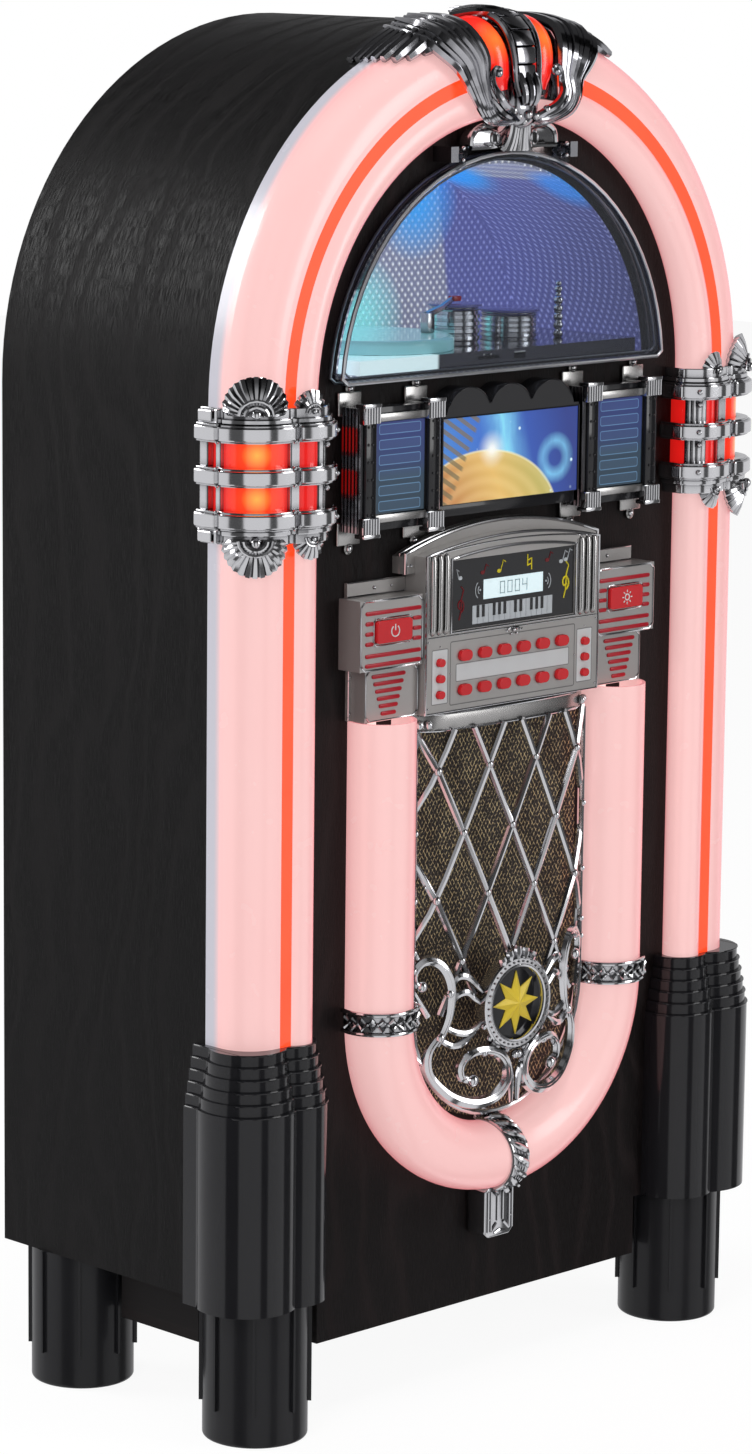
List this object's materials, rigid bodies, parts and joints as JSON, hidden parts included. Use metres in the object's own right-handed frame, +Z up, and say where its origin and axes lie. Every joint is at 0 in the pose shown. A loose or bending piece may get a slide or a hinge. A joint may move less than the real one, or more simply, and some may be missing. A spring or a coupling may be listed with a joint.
{
  "type": "cd jukebox",
  "caption": "Floor-standing arched disc player with lit tubes round its front, a hinged clear window over the disc deck, push buttons and a bowed speaker grille.",
  "frame": {"origin": "centre of the bounding box on the floor the feet stand on", "axes": "+Z up, -Y out of the front towards the user, +X to the user's right"},
  "size_m": [0.5814, 0.306, 1.0601],
  "materials": {
    "shell_finish": "black-stained open-pore wood veneer, satin",
    "baffle_finish": "black-stained board, satin",
    "board": "plain fibreboard",
    "feet_plastic": "moulded black plastic, semi-gloss",
    "pilaster_black": "moulded black plastic, high gloss",
    "pink_lens": "translucent diffusing plastic, lit from inside",
    "red_lens": "translucent red plastic, lit from inside",
    "lamp_strip": "white strip with lamps",
    "chromed": "chrome-plated plastic, mirror bright",
    "clear_cover": "clear acrylic",
    "liner_foil": "plastic lined with prismatic foil",
    "deck_black": "moulded black plastic, glossy",
    "card": "printed card",
    "picture_print": "printed picture behind clear film",
    "silver_panel": "silver metallised plastic",
    "display": "black display window",
    "circuit": "circuit board with solder resist",
    "socket_black": "moulded black plastic",
    "cloth": "brown and gold woven grille cloth",
    "star_yellow": "moulded yellow plastic",
    "speaker_black": "speaker with paper cone and magnet",
    "button_red": "moulded red plastic"
  },
  "bodies": {
    "cabinet": {"cabinet_shell": "shell_finish", "front_baffle": "baffle_finish", "back_panel": "board", "bottom_board": "board", "base_plinth": "baffle_finish", "feet": "feet_plastic", "pilasters": "pilaster_black", "arch_lens": "pink_lens", "column_lenses": "pink_lens", "loop_lens": "pink_lens", "red_strips": "red_lens", "light_strips": "lamp_strip", "collars": "chromed", "collar_lenses": "red_lens", "crown": "chromed", "crown_lens": "red_lens", "window_hinge": "clear_cover", "compartment_liner": "liner_foil", "disc_deck": "deck_black", "deck_drums": "chromed", "beaded_column": "chromed", "title_holders": "chromed", "title_cards": "card", "picture_panel": "picture_print", "control_fascia": "silver_panel", "panel_wings": "silver_panel", "display_window": "display", "control_board": "circuit", "wing_boards": "circuit", "main_board": "circuit", "mains_inlet": "socket_black", "loop_bands": "chromed", "grille_cloth": "cloth", "grille_lattice": "chromed", "medallion": "chromed", "medallion_star": "star_yellow", "speakers": "speaker_black"},
    "window_cover": {"window_cover": "clear_cover"},
    "disc_lid": {"disc_lid": "clear_cover"},
    "turntable": {"turntable": "deck_black"},
    "select_button_1": {"select_button_1": "button_red"},
    "select_button_2": {"select_button_2": "button_red"},
    "select_button_3": {"select_button_3": "button_red"},
    "select_button_4": {"select_button_4": "button_red"},
    "select_button_5": {"select_button_5": "button_red"},
    "select_button_6": {"select_button_6": "button_red"},
    "select_button_7": {"select_button_7": "button_red"},
    "select_button_8": {"select_button_8": "button_red"},
    "select_button_9": {"select_button_9": "button_red"},
    "select_button_10": {"select_button_10": "button_red"},
    "select_button_11": {"select_button_11": "button_red"},
    "select_button_12": {"select_button_12": "button_red"},
    "side_button_1": {"side_button_1": "button_red"},
    "side_button_2": {"side_button_2": "button_red"},
    "side_button_3": {"side_button_3": "button_red"},
    "side_button_4": {"side_button_4": "button_red"},
    "side_button_5": {"side_button_5": "button_red"},
    "side_button_6": {"side_button_6": "button_red"},
    "power_button": {"power_button": "button_red"},
    "light_button": {"light_button": "button_red"}
  },
  "joints": [
    {"name": "window_hinge_joint", "type": "hinge", "parent": "cabinet", "child": "window_cover", "pos_m": [0, -0.114, 0.95], "axis": [-1, 0, 0], "range_deg": [0, 75]},
    {"name": "disc_lid_hinge", "type": "hinge", "parent": "cabinet", "child": "disc_lid", "pos_m": [-0.07, 0.0255, 0.8074], "axis": [-1, 0, 0], "range_deg": [0, 45]},
    {"name": "turntable_spin", "type": "hinge", "parent": "cabinet", "child": "turntable", "pos_m": [-0.07, -0.039, 0.7976], "axis": [0, 0, 1], "continuous": true},
    {"name": "select_button_1_press", "type": "slide", "parent": "cabinet", "child": "select_button_1", "axis": [0, 1, 0], "range_m": [0, 0.0015], "stiffness_N_per_m": 600},
    {"name": "select_button_2_press", "type": "slide", "parent": "cabinet", "child": "select_button_2", "axis": [0, 1, 0], "range_m": [0, 0.0015], "stiffness_N_per_m": 600},
    {"name": "select_button_3_press", "type": "slide", "parent": "cabinet", "child": "select_button_3", "axis": [0, 1, 0], "range_m": [0, 0.0015], "stiffness_N_per_m": 600},
    {"name": "select_button_4_press", "type": "slide", "parent": "cabinet", "child": "select_button_4", "axis": [0, 1, 0], "range_m": [0, 0.0015], "stiffness_N_per_m": 600},
    {"name": "select_button_5_press", "type": "slide", "parent": "cabinet", "child": "select_button_5", "axis": [0, 1, 0], "range_m": [0, 0.0015], "stiffness_N_per_m": 600},
    {"name": "select_button_6_press", "type": "slide", "parent": "cabinet", "child": "select_button_6", "axis": [0, 1, 0], "range_m": [0, 0.0015], "stiffness_N_per_m": 600},
    {"name": "select_button_7_press", "type": "slide", "parent": "cabinet", "child": "select_button_7", "axis": [0, 1, 0], "range_m": [0, 0.0015], "stiffness_N_per_m": 600},
    {"name": "select_button_8_press", "type": "slide", "parent": "cabinet", "child": "select_button_8", "axis": [0, 1, 0], "range_m": [0, 0.0015], "stiffness_N_per_m": 600},
    {"name": "select_button_9_press", "type": "slide", "parent": "cabinet", "child": "select_button_9", "axis": [0, 1, 0], "range_m": [0, 0.0015], "stiffness_N_per_m": 600},
    {"name": "select_button_10_press", "type": "slide", "parent": "cabinet", "child": "select_button_10", "axis": [0, 1, 0], "range_m": [0, 0.0015], "stiffness_N_per_m": 600},
    {"name": "select_button_11_press", "type": "slide", "parent": "cabinet", "child": "select_button_11", "axis": [0, 1, 0], "range_m": [0, 0.0015], "stiffness_N_per_m": 600},
    {"name": "select_button_12_press", "type": "slide", "parent": "cabinet", "child": "select_button_12", "axis": [0, 1, 0], "range_m": [0, 0.0015], "stiffness_N_per_m": 600},
    {"name": "side_button_1_press", "type": "slide", "parent": "cabinet", "child": "side_button_1", "axis": [0, 1, 0], "range_m": [0, 0.0015], "stiffness_N_per_m": 600},
    {"name": "side_button_2_press", "type": "slide", "parent": "cabinet", "child": "side_button_2", "axis": [0, 1, 0], "range_m": [0, 0.0015], "stiffness_N_per_m": 600},
    {"name": "side_button_3_press", "type": "slide", "parent": "cabinet", "child": "side_button_3", "axis": [0, 1, 0], "range_m": [0, 0.0015], "stiffness_N_per_m": 600},
    {"name": "side_button_4_press", "type": "slide", "parent": "cabinet", "child": "side_button_4", "axis": [0, 1, 0], "range_m": [0, 0.0015], "stiffness_N_per_m": 600},
    {"name": "side_button_5_press", "type": "slide", "parent": "cabinet", "child": "side_button_5", "axis": [0, 1, 0], "range_m": [0, 0.0015], "stiffness_N_per_m": 600},
    {"name": "side_button_6_press", "type": "slide", "parent": "cabinet", "child": "side_button_6", "axis": [0, 1, 0], "range_m": [0, 0.0015], "stiffness_N_per_m": 600},
    {"name": "power_button_press", "type": "slide", "parent": "cabinet", "child": "power_button", "axis": [0, 1, 0], "range_m": [0, 0.0015], "stiffness_N_per_m": 600},
    {"name": "light_button_press", "type": "slide", "parent": "cabinet", "child": "light_button", "axis": [0, 1, 0], "range_m": [0, 0.0015], "stiffness_N_per_m": 600}
  ]
}
